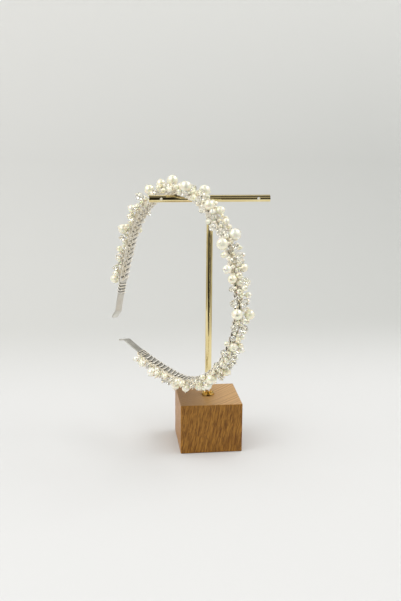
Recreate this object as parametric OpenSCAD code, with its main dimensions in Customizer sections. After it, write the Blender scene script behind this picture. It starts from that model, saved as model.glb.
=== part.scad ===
// Pearl and crystal bridal headband, hung on its brass and beech display stand.
// Sizes are millimetres. The origin is the middle of the block's underside, with X along the bar,
// Y to the back and Z up.

/* [Block] */
// Width and depth of the beech block
block_w = 42; // [36:1:60]
// Height of the beech block
block_h = 34.5; // [25:0.5:45]
// Rounding of the block's edges
block_edge_r = 0.8; // [0.4:0.1:2]

/* [Post and bar] */
// Height of the bar's axis over the top of the block
bar_rise = 136; // [132:1:150]
// Diameter of the upright post
post_d = 4.4; // [4:0.1:6]
// How deep the post stands in the block
post_sunk = 20; // [12:1:24]
// Diameter of the cross bar
bar_d = 4.7; // [4.6:0.1:6]
// Length of the cross bar
bar_len = 80; // [76:1:100]
// Diameter of the hole across each end of the bar
cross_hole_d = 2; // [1.6:0.1:2.4]
// Distance of that hole from the bar's end
cross_hole_inset = 7.8; // [5:0.1:9]
// Outside diameter of the cup washer at the foot of the post
washer_d = 9; // [8:0.1:12]
// Height of the cup washer
washer_h = 1.5; // [1:0.1:2.5]

/* [Headband strip] */
// Width of the steel strip
strip_w = 5; // [4:0.1:6]
// Thickness of the steel strip
strip_t = 1; // [0.8:0.1:1.4]
// Inside radius over the crown of the head
crown_r = 72; // [68:1:78]
// Angle from the middle of the crown to the shoulder
crown_angle = 28.5; // [24:0.5:32]
// Inside radius of the shoulders
shoulder_r = 52; // [48:1:56]
// Angle of each shoulder
shoulder_angle = 99; // [92:1:104]
// Inside radius of the arms
arm_r = 300; // [240:10:400]
// Angle of each arm up to the bent tip
arm_angle = 11; // [9:0.5:12]
// Radius at which the tips turn outward
tip_r = 3; // [2:0.5:5]
// Angle by which the tips turn outward
tip_angle = 30; // [15:1:40]
// Straight length of each tip
tip_len = 6.5; // [4:0.5:10]

/* [How the headband hangs] */
// Place along the bar where the headband hangs, from the post
hang_x = -20; // [-24:1:-16]
// Turn of the headband's plane from the bar
plane_turn = 57; // [50:1:62]
// Lean of the headband's plane from the upright
lean = 4; // [0:0.5:6]
// Rise of the crown over the level
crown_rise = 32.5; // [28:0.5:36]

/* [Wire binding] */
// Thickness of the wound wire under and beside the strip
wound_t = 0.4; // [0.3:0.05:0.5]
// Thickness of the wound wire and the stems' feet over the strip
wound_top_t = 1; // [0.8:0.1:1.2]
// Bound length of the upper arm past its shoulder
bound_upper = 46; // [30:1:50]
// Bound length of the lower arm past its shoulder
bound_lower = 40; // [30:1:50]
// Diameter of a bead's twisted wire stem
stem_d = 0.6; // [0.4:0.05:0.7]

/* [Beads] */
// Diameter of the hole through every bead
bead_hole_d = 0.9; // [0.8:0.05:1.1]
// Length of band between two rows of small beads
row_step = 4.1; // [4:0.1:6]
// Diameter of the smallest bead between the big ones
small_d = 3.2; // [3:0.1:3.4]
// Number of sides of a cut crystal
crystal_sides = 8; // [8:1:10]

/* [Hidden] */
gap = 0.05;
clear = 0.15;
hair = 0.01;
round_fn = 64;
stem_fn = 6;
post_neck_d = 3;
post_neck_clear = 0.1;
stem_root = 0.5;
stem_root_reach = 1.7;
stem_past_bead = 0.35;
size_step = 0.25;
bar_z = block_h + bar_rise;
bar_top = bar_z + bar_d / 2;
crown_len = crown_r * crown_angle * PI / 180;
shoulder_len = shoulder_r * shoulder_angle * PI / 180;
shoulder_end = crown_len + shoulder_len;
// Under the strip at the bar lie the wound wire and the dip of its leaning edge
rest_gap = wound_t + gap + strip_w / 2 * sin(lean) + clear;

// The big pearls. station: length along the band from the middle of the crown, plus towards the upper arm.
// side: offset across the band, plus towards the front of the stand. lift: height of the pearl's
// centre over the strip. size: its diameter.
// [station, side, lift, size]
PEARLS = [
    [161, 4, 4.5, 6.5], [123, 6, 5.5, 7], [107, 6, 5.5, 5.5], [88, 3.5, 6.5, 7],
    [80, 0, 7.5, 6.5], [72, -2.5, 8, 7.5], [53, 3.5, 5.5, 7.6], [46, -6, 5.5, 7.6],
    [31, 2, 4.8, 6.8], [27, -5, 4, 5.6], [8, -4, 5.2, 8], [3, 7.5, 3.6, 7.5],
    [-12, 8.5, 2.5, 5.4], [-12, -4, 4, 5.5], [-18, 6, 3, 5.7], [-38, 5, 4.5, 7],
    [-39, -6, 4, 6.5], [-58, 2.5, 4, 5.5], [-79, -4.5, 4.2, 5.7], [-86, 3, 4.8, 7],
    [-94, 0, 6.5, 5.2], [-106, -4, 5, 7], [-112, 2, 6, 5.3], [-120, 3.5, 5.5, 6],
    [-143, 6, 4.5, 6.2], [-159, 2.5, 4.5, 6.3]
];
// The big cut crystals, in the same columns
CRYSTALS = [
    [95, 7, 5.5, 6], [38, 5, 3.5, 5], [42, 0.5, 6.5, 4.8], [15, 8.5, 2.8, 5],
    [11, 5, 4, 4.8], [1, -2, 4.5, 4.4], [-4.5, -3, 4, 4.8], [-32, 6.5, 3, 4.8],
    [-32, -1, 4.5, 4.8], [-46, 5, 3.5, 4.8], [-47, -3, 4, 4.8], [-62, 7.5, 3.2, 4.6],
    [-65, -1, 4.5, 4.6], [-130, 5, 4.5, 4.8]
];
// Places across the band where small beads stand, one list for even rows and one for odd rows.
// under: height of the bead's underside over the strip.
// [side, under]
ROW_PLACES = [
    [[0, 1.6], [-4.4, 2.2], [4.4, 2.2], [-7.6, -0.4], [7.6, -0.4]],
    [[-2.2, 2.6], [2.2, 2.6], [-5.8, -0.2], [5.8, -0.2], [0, 5]]
];
// The small beads crowd both sides of the crown, and the arms carry them mostly on one side.
// [from station, to station, least side, most side]
STRETCHES = [[-180, -104, -3.4, 9], [-104, -48, -9, 6.6], [-48, 85, -9, 9], [85, 124, -6.6, 9], [124, 180, -3, 9]];

function name_of(prefix, i) = str(prefix, i < 9 ? "_0" : "_", i + 1);
PEARL_NAMES = [for (i = [0:len(PEARLS) - 1]) name_of("pearl", i)];
CRYSTAL_NAMES = [for (i = [0:len(CRYSTALS) - 1]) name_of("crystal", i)];

// The band's own frame has its origin at the centre of the crown's arc, X to the crown's middle,
// Y towards the upper arm and Z towards the front.
function turned(s) = let (a = abs(s))
    a < crown_len ? a / crown_r * 180 / PI
    : a < shoulder_end ? crown_angle + (a - crown_len) / shoulder_r * 180 / PI
    : crown_angle + shoulder_angle + (a - shoulder_end) / arm_r * 180 / PI;
function heading(s) = s < 0 ? -turned(s) : turned(s);
function polar(r, angle) = [r * cos(angle), r * sin(angle)];
shoulder_centre = polar(crown_r - shoulder_r, crown_angle);
arm_centre = shoulder_centre + polar(shoulder_r - arm_r, crown_angle + shoulder_angle);
function upper(p, s) = s < 0 ? [p[0], -p[1]] : p;
function arc_centre(s) = abs(s) < crown_len ? [0, 0]
    : upper(abs(s) < shoulder_end ? shoulder_centre : arm_centre, s);
function arc_radius(s) = abs(s) < crown_len ? crown_r : abs(s) < shoulder_end ? shoulder_r : arm_r;
function place(station, side, lift) =
    let (p = arc_centre(station) + polar(arc_radius(station) + strip_t + lift, heading(station)))
    [p[0], p[1], side];

// A bead is [centre, radius, stem root, kind, station]
function root_of(station, side) = place(station, max(-stem_root_reach, min(stem_root_reach, side / 3)), stem_root);
function bead(row, kind) = [place(row[0], row[1], row[2]), row[3] / 2, root_of(row[0], row[1]), kind, row[0]];
function unit(v) = v / norm(v);
function stem_end(b) = b[0] + unit(b[0] - b[2]) * (b[1] + stem_past_bead);
function from_segment(p, a, b) =
    let (t = max(0, min(1, (p - a) * (b - a) / ((b - a) * (b - a))))) norm(p - a - (b - a) * t);
function apart(a, b) = abs(a[4] - b[4]) > 16
    || (norm(a[0] - b[0]) > a[1] + b[1] + clear
        && from_segment(a[0], b[2], stem_end(b)) > a[1] + stem_d / 2 + clear
        && from_segment(b[0], a[2], stem_end(a)) > b[1] + stem_d / 2 + clear);
function clear_of_band(side, lift, r) =
    norm([max(0, abs(side) - strip_w / 2 - wound_t - gap), max(0, lift - wound_top_t)]) > r + clear;
function fits(b, kept) = len([for (k = kept) if (!apart(b, k)) 1]) == 0;
function thread(wanted, kept, i = 0) = i == len(wanted) ? kept
    : thread(wanted, fits(wanted[i], kept) ? concat(kept, [wanted[i]]) : kept, i + 1);

function in_stretch(s, side) =
    len([for (t = STRETCHES) if (s >= t[0] && s < t[1] && side >= t[2] && side <= t[3]) 1]) > 0;

// Small beads fill the rows wherever the big ones leave room, two pearls to each crystal
row_count = floor((bound_upper + bound_lower + 2 * shoulder_end - 14) / row_step);
function row_station(i) = -shoulder_end - bound_lower + 6 + i * row_step;
SMALL = [for (i = [0:row_count], j = [0:len(ROW_PLACES[0]) - 1])
    let (at = ROW_PLACES[i % 2][j],
        size = small_d + (i * 3 + j * 2) % 5 * size_step,
        station = row_station(i) + 0.9 * sin(i * 137 + j * 71),
        side = at[0] + 0.7 * sin(i * 97 + j * 53),
        lift = at[1] + size / 2 + 0.4 * sin(i * 61 + j * 113),
        kind = (i + 2 * j) % 3 == 0 ? "crystal" : "pearl")
    if (clear_of_band(side, lift, size / 2) && in_stretch(station, side))
        bead([station, side, lift, size], kind)];
BIG = concat([for (row = PEARLS) bead(row, "big pearl")], [for (row = CRYSTALS) bead(row, "big crystal")]);
BEADS = thread(SMALL, BIG);

// Puts its children, drawn in the band's frame, where the headband hangs on the bar
module hung() {
    translate([hang_x, 0, bar_top + rest_gap])
        rotate([0, 0, -plane_turn])
            rotate([90 - lean, 0, 0])
                translate([0, -shoulder_r, 0])
                    rotate([0, 0, crown_rise])
                        translate([-shoulder_centre[0], -shoulder_centre[1], 0])
                            children();
}

// Turns Z to the direction v, at the point p
module towards(p, v) {
    translate(p)
        rotate([0, acos(v[2] / norm(v)), atan2(v[1], v[0])])
            children();
}

module wood_block() {
    half = block_w / 2;
    color("#b98a5e")
        difference() {
            intersection() {
                rounded_prism(block_w, block_w, block_h);
                translate([0, half, block_h / 2])
                    rotate([90, 0, 0]) rounded_prism(block_w, block_h, block_w);
                translate([-half, 0, block_h / 2])
                    rotate([90, 0, 90]) rounded_prism(block_w, block_h, block_w);
            }
            translate([0, 0, block_h - post_sunk - gap])
                cylinder(d = post_d + 2 * gap, h = post_sunk + 1, $fn = round_fn);
        }
}

// A prism on Z with its four upright edges rounded
module rounded_prism(a, b, h) {
    linear_extrude(h) {
        square([a - 2 * block_edge_r, b], center = true);
        square([a, b - 2 * block_edge_r], center = true);
        for (x = [-1, 1], y = [-1, 1])
            translate([x * (a / 2 - block_edge_r), y * (b / 2 - block_edge_r)])
                circle(r = block_edge_r, $fn = round_fn);
    }
}

// The post's top is cut to the bar's curve, and a neck goes up into the bar
module post() {
    foot_z = block_h - post_sunk;
    neck_top = bar_z + bar_d * 0.2;
    color("#c9a24e") {
        difference() {
            translate([0, 0, foot_z])
                cylinder(d = post_d, h = bar_z - bar_d / 4 - foot_z, $fn = round_fn);
            translate([-post_d, 0, bar_z])
                rotate([0, 90, 0]) cylinder(d = bar_d + 2 * gap, h = 2 * post_d, $fn = round_fn);
        }
        translate([0, 0, bar_z - bar_d])
            cylinder(d = post_neck_d, h = neck_top - bar_z + bar_d, $fn = round_fn);
    }
}

module cross_bar() {
    neck_hole_d = post_neck_d + 2 * post_neck_clear;
    color("#c9a24e")
        difference() {
            translate([-bar_len / 2, 0, bar_z])
                rotate([0, 90, 0]) cylinder(d = bar_d, h = bar_len, $fn = round_fn);
            for (x = [-1, 1])
                translate([x * (bar_len / 2 - cross_hole_inset), bar_d, bar_z])
                    rotate([90, 0, 0]) cylinder(d = cross_hole_d, h = 2 * bar_d, $fn = round_fn);
            translate([0, 0, bar_z - bar_d])
                cylinder(d = neck_hole_d, h = bar_d * 1.25, $fn = round_fn);
        }
}

module cup_washer() {
    outer = washer_d / 2;
    inner = post_d / 2 + clear;
    rim_x = outer - washer_h * 0.35;
    color("#c9a24e")
        translate([0, 0, block_h + gap])
            rotate_extrude($fn = round_fn) {
                polygon([
                    [inner, 0], [outer - 0.3, 0], [outer, 0.35], [rim_x + 0.35, washer_h - 0.4],
                    [rim_x - 0.35, washer_h - 0.4], [inner + 0.5, 0.45], [inner, 0.45]
                ]);
                translate([rim_x, washer_h - 0.4]) circle(r = 0.4, $fn = round_fn);
            }
}

// A bar bent round the middle of its arc between two angles, from the inside face to the outside face
module arc_bar(r, inside, outside, from_angle, to_angle) {
    far = 2 * arm_r;
    intersection() {
        difference() {
            circle(r = r + outside, $fn = 4 * round_fn);
            circle(r = r - inside, $fn = 4 * round_fn);
        }
        polygon([[0, 0], polar(far, from_angle), polar(far, (from_angle + to_angle) / 2), polar(far, to_angle)]);
    }
}

// The upper shoulder and arm. The shoulder is a hair thinner and reaches a little into its neighbours.
module half_run(inside, outside, arm_turn) {
    bend = crown_angle + shoulder_angle;
    reach = 0.5;
    translate(shoulder_centre) arc_bar(shoulder_r, inside - hair, outside - hair, crown_angle - reach, bend + reach);
    translate(arm_centre) arc_bar(arm_r, inside, outside, bend, bend + arm_turn);
}

// The crown, shoulders and arms as one flat bar
module band_run(inside, outside, width, upper_turn, lower_turn) {
    linear_extrude(width, center = true) {
        arc_bar(crown_r, inside, outside, -crown_angle, crown_angle);
        half_run(inside, outside, upper_turn);
        mirror([0, 1]) half_run(inside, outside, lower_turn);
    }
}

// The upper tip, pressed a hair thinner than the arm that it grows from: a short turn outward and a
// straight end with round corners
module strip_tip() {
    end_heading = crown_angle + shoulder_angle + arm_angle;
    kink = arm_centre + polar(arm_r + strip_t + tip_r, end_heading);
    reach = 3;
    translate([kink[0], kink[1], 0])
        rotate([0, 0, end_heading + 180 - tip_angle]) {
            rotate_extrude(angle = tip_angle + reach, $fn = round_fn)
                translate([tip_r + hair, -strip_w / 2 + hair])
                    square([strip_t - 2 * hair, strip_w - 2 * hair]);
            translate([tip_r + hair, 0, 0])
                rotate([90, 0, 90])
                    linear_extrude(strip_t - 2 * hair)
                        tip_outline(strip_w - 2 * hair);
        }
}

// The flat end of a tip, along -X from the turn, with a rounded end
module tip_outline(width) {
    corner = width / 4;
    translate([-tip_len + corner, -width / 2]) square([tip_len - corner, width]);
    translate([-tip_len, -width / 2 + corner]) square([corner, width - 2 * corner]);
    for (y = [-1, 1])
        translate([-tip_len + corner, y * (width / 2 - corner)]) circle(r = corner, $fn = round_fn);
}

module strip() {
    color("#b9b6ab")
        hung() {
            band_run(0, strip_t, strip_w, arm_angle, arm_angle);
            strip_tip();
            mirror([0, 1, 0]) strip_tip();
        }
}

// The wound wire is a close sleeve on the strip, and every stem grows out of it
module wire_binding() {
    upper_turn = bound_upper / arm_r * 180 / PI;
    lower_turn = bound_lower / arm_r * 180 / PI;
    color("#d9d2bf")
        hung() {
            difference() {
                band_run(wound_t + gap, strip_t + wound_top_t, strip_w + 2 * (wound_t + gap), upper_turn, lower_turn);
                band_run(gap, strip_t + gap, strip_w + 2 * gap, upper_turn + 0.5, lower_turn + 0.5);
            }
            for (b = BEADS)
                towards(b[2], b[0] - b[2])
                    cylinder(d = stem_d, h = norm(stem_end(b) - b[2]), $fn = stem_fn);
        }
}

module pearl(b) {
    towards(b[0], b[0] - b[2])
        difference() {
            sphere(r = b[1], $fn = round_fn);
            cylinder(d = bead_hole_d, h = 3 * b[1], center = true, $fn = 2 * crystal_sides);
        }
}

// A cut rondelle: a table at each end round the hole, a crown, a girdle and a pavilion of flat facets
module crystal(b) {
    r = b[1];
    table = 0.52 * r;
    girdle = 0.14 * r;
    half = 0.82 * r;
    towards(b[0], b[0] - b[2])
        rotate_extrude($fn = crystal_sides)
            polygon([
                [bead_hole_d / 2, half], [table, half], [r, girdle],
                [r, -girdle], [table, -half], [bead_hole_d / 2, -half]
            ]);
}

module small_pearls() {
    color("#efe6cf")
        hung()
            for (b = BEADS)
                if (b[3] == "pearl") pearl(b);
}

module small_crystals() {
    color("#e4ecf0")
        hung()
            for (b = BEADS)
                if (b[3] == "crystal") crystal(b);
}

module big_pearl(i) {
    color("#f4ecd8") hung() pearl(BIG[i]);
}

module big_crystal(i) {
    color("#e9f1f5") hung() crystal(BIG[len(PEARLS) + i]);
}

wood_block();
post();
cross_bar();
cup_washer();
strip();
wire_binding();
small_pearls();
small_crystals();
for (i = [0:len(PEARLS) - 1])
    big_pearl(i);
for (i = [0:len(CRYSTALS) - 1])
    big_crystal(i);
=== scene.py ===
"""Looks of a pearl and crystal bridal headband that hangs on a brass T-bar in a beech block.

The frame is the part's own, in metres: X along the bar, Y to the back and Z up from the table. Millimetres are used
in names that end in _mm, and in the classes of the headband's line, beads and wire.
"""
import logging
import math
import random
from dataclasses import dataclass, field
from enum import Enum

import bmesh
import bpy
import numpy as np
from bpy.types import Material, Node, NodeSocket, NodeTree, Object
from mathutils import Matrix, Vector


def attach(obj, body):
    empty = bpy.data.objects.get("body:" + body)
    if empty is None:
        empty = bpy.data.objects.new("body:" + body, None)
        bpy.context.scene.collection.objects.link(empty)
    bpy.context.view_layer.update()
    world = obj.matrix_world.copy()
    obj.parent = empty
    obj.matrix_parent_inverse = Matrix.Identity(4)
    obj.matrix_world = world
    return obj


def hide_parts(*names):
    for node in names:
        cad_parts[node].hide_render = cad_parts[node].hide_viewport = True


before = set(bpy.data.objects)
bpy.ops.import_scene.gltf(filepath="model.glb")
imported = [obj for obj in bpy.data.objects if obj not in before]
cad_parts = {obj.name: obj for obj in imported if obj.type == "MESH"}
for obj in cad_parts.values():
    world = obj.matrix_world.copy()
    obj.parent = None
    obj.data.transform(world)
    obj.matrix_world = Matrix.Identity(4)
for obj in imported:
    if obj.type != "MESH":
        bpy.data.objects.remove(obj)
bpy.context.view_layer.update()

MM = 0.001
LOG = logging.getLogger("headband")
Colour = tuple[float, float, float, float]
Span = tuple[float, float]
Spot = tuple[float, float, float]
# What a node's input takes: a node, a socket, a hex colour or a number
Feed = Node | NodeSocket | str | float


class Axis(Enum):
    """The way a rod was drawn."""

    X = (1.0, 0.0, 0.0)
    Z = (0.0, 0.0, 1.0)


class CardSeen(Enum):
    """What shows a studio card: polished surfaces that mirror it, glass that bends light to it, or both."""

    MIRRORED = "mirrored"
    IN_GLASS = "in glass"
    BOTH = "both"


# ---- Small tools


def linear(hex_colour: str) -> Colour:
    """Turns an sRGB hex colour to linear light.

    Args:
        hex_colour: the colour as #RRGGBB.
    Returns:
        The linear red, green and blue, with alpha 1.
    """
    parts = [int(hex_colour[i:i + 2], 16) / 255 for i in (1, 3, 5)]
    light = [c / 12.92 if c <= 0.04045 else ((c + 0.055) / 1.055) ** 2.4 for c in parts]
    return (light[0], light[1], light[2], 1.0)


def add_node(tree: NodeTree, kind: str, inputs: dict | None = None, **settings: object) -> Node:
    """Adds a node with its settings and links.

    Args:
        tree: the node tree that takes it.
        kind: the node's type, without the ShaderNode in front.
        inputs: socket name or number to its value, its hex colour, or the socket or node that feeds it.
        **settings: the node's own properties.
    Returns:
        The new node.
    """
    made = tree.nodes.new("ShaderNode" + kind)
    for key, value in settings.items():
        setattr(made, key, value)
    for key, value in (inputs or {}).items():
        if isinstance(value, Node):
            value = next(socket for socket in value.outputs if socket.enabled)
        if isinstance(value, NodeSocket):
            tree.links.new(value, made.inputs[key])
        else:
            made.inputs[key].default_value = linear(value) if isinstance(value, str) else value
    return made


def blank_material(name: str) -> Material:
    """Makes a material with no nodes yet.

    Args:
        name: the material's name.
    Returns:
        The material.
    """
    made = bpy.data.materials.new(name)
    made.use_nodes = True
    made.node_tree.nodes.clear()
    return made


def shaded(made: Material, values: dict) -> Material:
    """Ends a material in one Principled shader.

    Args:
        made: the material.
        values: the shader's sockets and what each of them gets.
    Returns:
        The material.
    """
    shader = add_node(made.node_tree, "BsdfPrincipled", values)
    add_node(made.node_tree, "OutputMaterial", {"Surface": shader})
    return made


def blended(
        tree: NodeTree, pattern: Feed, span: Span, first: Feed, second: Feed, most: float = 1.0,
        **settings: object) -> Node:
    """Blends two colours by a pattern.

    Args:
        tree: the node tree.
        pattern: what the colours follow.
        span: the pattern's value where the second colour starts to come in, and where it no longer grows.
        first: the first colour.
        second: the second colour.
        most: how much of the second colour comes in.
        **settings: how the pattern is mapped between the two.
    Returns:
        The node that gives the new colour.
    """
    share = add_node(tree, "MapRange", {0: pattern, 1: span[0], 2: span[1], 4: most}, **settings)
    return add_node(tree, "Mix", {0: share, 6: first, 7: second}, data_type="RGBA")


def paint_hollow_shade(tree: NodeTree, colour: Feed, dark: str, reach_mm: float, span: Span) -> Node:
    """Paints shade into a colour in grooves and corners, where little light gets in.

    Args:
        tree: the node tree.
        colour: the colour without painted shade.
        dark: the painted shade colour of the deepest hollows.
        reach_mm: how far the groove's other side may be.
        span: the openness at which the painted shade is full, and at which there is none.
    Returns:
        The node that gives the new colour.
    """
    hollow = add_node(tree, "AmbientOcclusion", {"Distance": reach_mm * MM}, samples=6)
    return blended(tree, hollow.outputs["AO"], span, dark, colour)


def unit(rows: np.ndarray) -> np.ndarray:
    """Scales each row to length 1."""
    return rows / np.linalg.norm(rows, axis=-1, keepdims=True)


def lengths(path: np.ndarray) -> np.ndarray:
    """The length along a path up to each of its points."""
    return np.concatenate([[0.0], np.cumsum(np.linalg.norm(np.diff(path, axis=0), axis=1))])


def carried(path: np.ndarray, start: np.ndarray) -> np.ndarray:
    """Carries a direction along a path without turning it about the path.

    Args:
        path: the points, one a row.
        start: the direction to start from.
    Returns:
        The direction at each point, across the path.
    """
    made, last = [], start
    for tangent in unit(np.gradient(path, axis=0)):
        last = unit(last - tangent * (last @ tangent))
        made.append(last)
    return np.array(made)


class Draft:
    """Points and faces that are gathered before they become one object."""

    def __init__(self) -> None:
        """Starts empty."""
        self.points: list[np.ndarray] = []
        self.faces: list[tuple[int, ...]] = []
        self.smooth: list[bool] = []
        self.count = 0

    def add(self, points: np.ndarray, faces: list[tuple[int, ...]], smooth: bool = True) -> None:
        """Adds a shell.

        Args:
            points: its corners, one a row.
            faces: each face's corner numbers within the shell.
            smooth: whether the shell is shaded smooth.
        """
        base = self.count
        self.points.append(points)
        self.faces.extend(tuple(base + i for i in face) for face in faces)
        self.smooth.extend([smooth] * len(faces))
        self.count += len(points)

    def tube(self, path: np.ndarray, side: np.ndarray, radius: float, sides: int) -> None:
        """Adds a round wire along a path, with flat ends.

        Args:
            path: the wire's middle line, one point a row.
            side: a direction across the path at each point.
            radius: the wire's radius.
            sides: the number of sides of its section.
        """
        tangent = unit(np.gradient(path, axis=0))
        across = unit(side - tangent * np.sum(side * tangent, axis=1, keepdims=True))
        other = np.cross(tangent, across)
        turn = np.arange(sides) * 2 * math.pi / sides
        ring = np.cos(turn)[None, :, None] * across[:, None, :] + np.sin(turn)[None, :, None] * other[:, None, :]
        points = (path[:, None, :] + radius * ring).reshape(-1, 3)
        faces = [
            (i * sides + j, i * sides + (j + 1) % sides, (i + 1) * sides + (j + 1) % sides, (i + 1) * sides + j)
            for i in range(len(path) - 1) for j in range(sides)
        ]
        last = (len(path) - 1) * sides
        faces += [tuple(reversed(range(sides))), tuple(range(last, last + sides))]
        self.add(points, faces)

    def build(self, name: str, material: Material) -> Object:
        """Makes the object.

        Args:
            name: the object's name.
            material: the finish that it takes.
        Returns:
            The new object, in the scene.
        """
        mesh = bpy.data.meshes.new(name)
        mesh.from_pydata(np.concatenate(self.points).tolist(), [], self.faces)
        mesh.polygons.foreach_set("use_smooth", self.smooth)
        mesh.materials.append(material)
        mesh.update()
        made = bpy.data.objects.new(name, mesh)
        bpy.context.scene.collection.objects.link(made)
        return made


# ---- Finishes
# In a MapRange, 1 and 2 are the pattern's own values, which mostly lie from 0.3 to 0.7, and 3 and 4 what they become


@dataclass(frozen=True)
class BuffedBrass:
    """Drawn brass rod, buffed bright. It mirrors the room in long stripes, a little broken by the drawing."""

    name: str = "buffed_brass"
    colour: str = "#F2E2AE"
    deep_colour: str = "#E6D298"
    roughness: float = 0.035
    draw_line_mm: float = 0.18
    draw_depth_mm: float = 0.004
    # How many times longer than wide a drawing line is
    draw_stretch: float = 40.0
    patch_mm: float = 9.0

    def material(self, drawn: Axis) -> Material:
        """Makes the finish.

        Args:
            drawn: the way the rod was drawn, along which its fine lines run.
        Returns:
            The material.
        """
        made = blank_material(f"{self.name}_{drawn.name}")
        tree = made.node_tree
        place = add_node(tree, "TexCoord").outputs["Object"]
        stretch = tuple(1 / self.draw_stretch if part else 1.0 for part in drawn.value)
        lines = add_node(tree, "Mapping", {"Vector": place, "Scale": stretch})
        fine = add_node(tree, "TexNoise", {"Vector": lines, "Scale": 1 / (self.draw_line_mm * MM), "Detail": 2.0})
        patch = add_node(tree, "TexNoise", {"Vector": place, "Scale": 1 / (self.patch_mm * MM), "Detail": 3.0})
        return shaded(made, {
            "Metallic": 1.0,
            "Base Color": blended(tree, patch, (0.35, 0.7), self.colour, self.deep_colour),
            "Roughness": add_node(tree, "MapRange", {
                0: patch, 1: 0.3, 2: 0.75, 3: self.roughness * 0.75, 4: self.roughness * 1.5}),
            "Normal": add_node(tree, "Bump", {"Strength": 0.08, "Distance": self.draw_depth_mm * MM, "Height": fine})})


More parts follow.
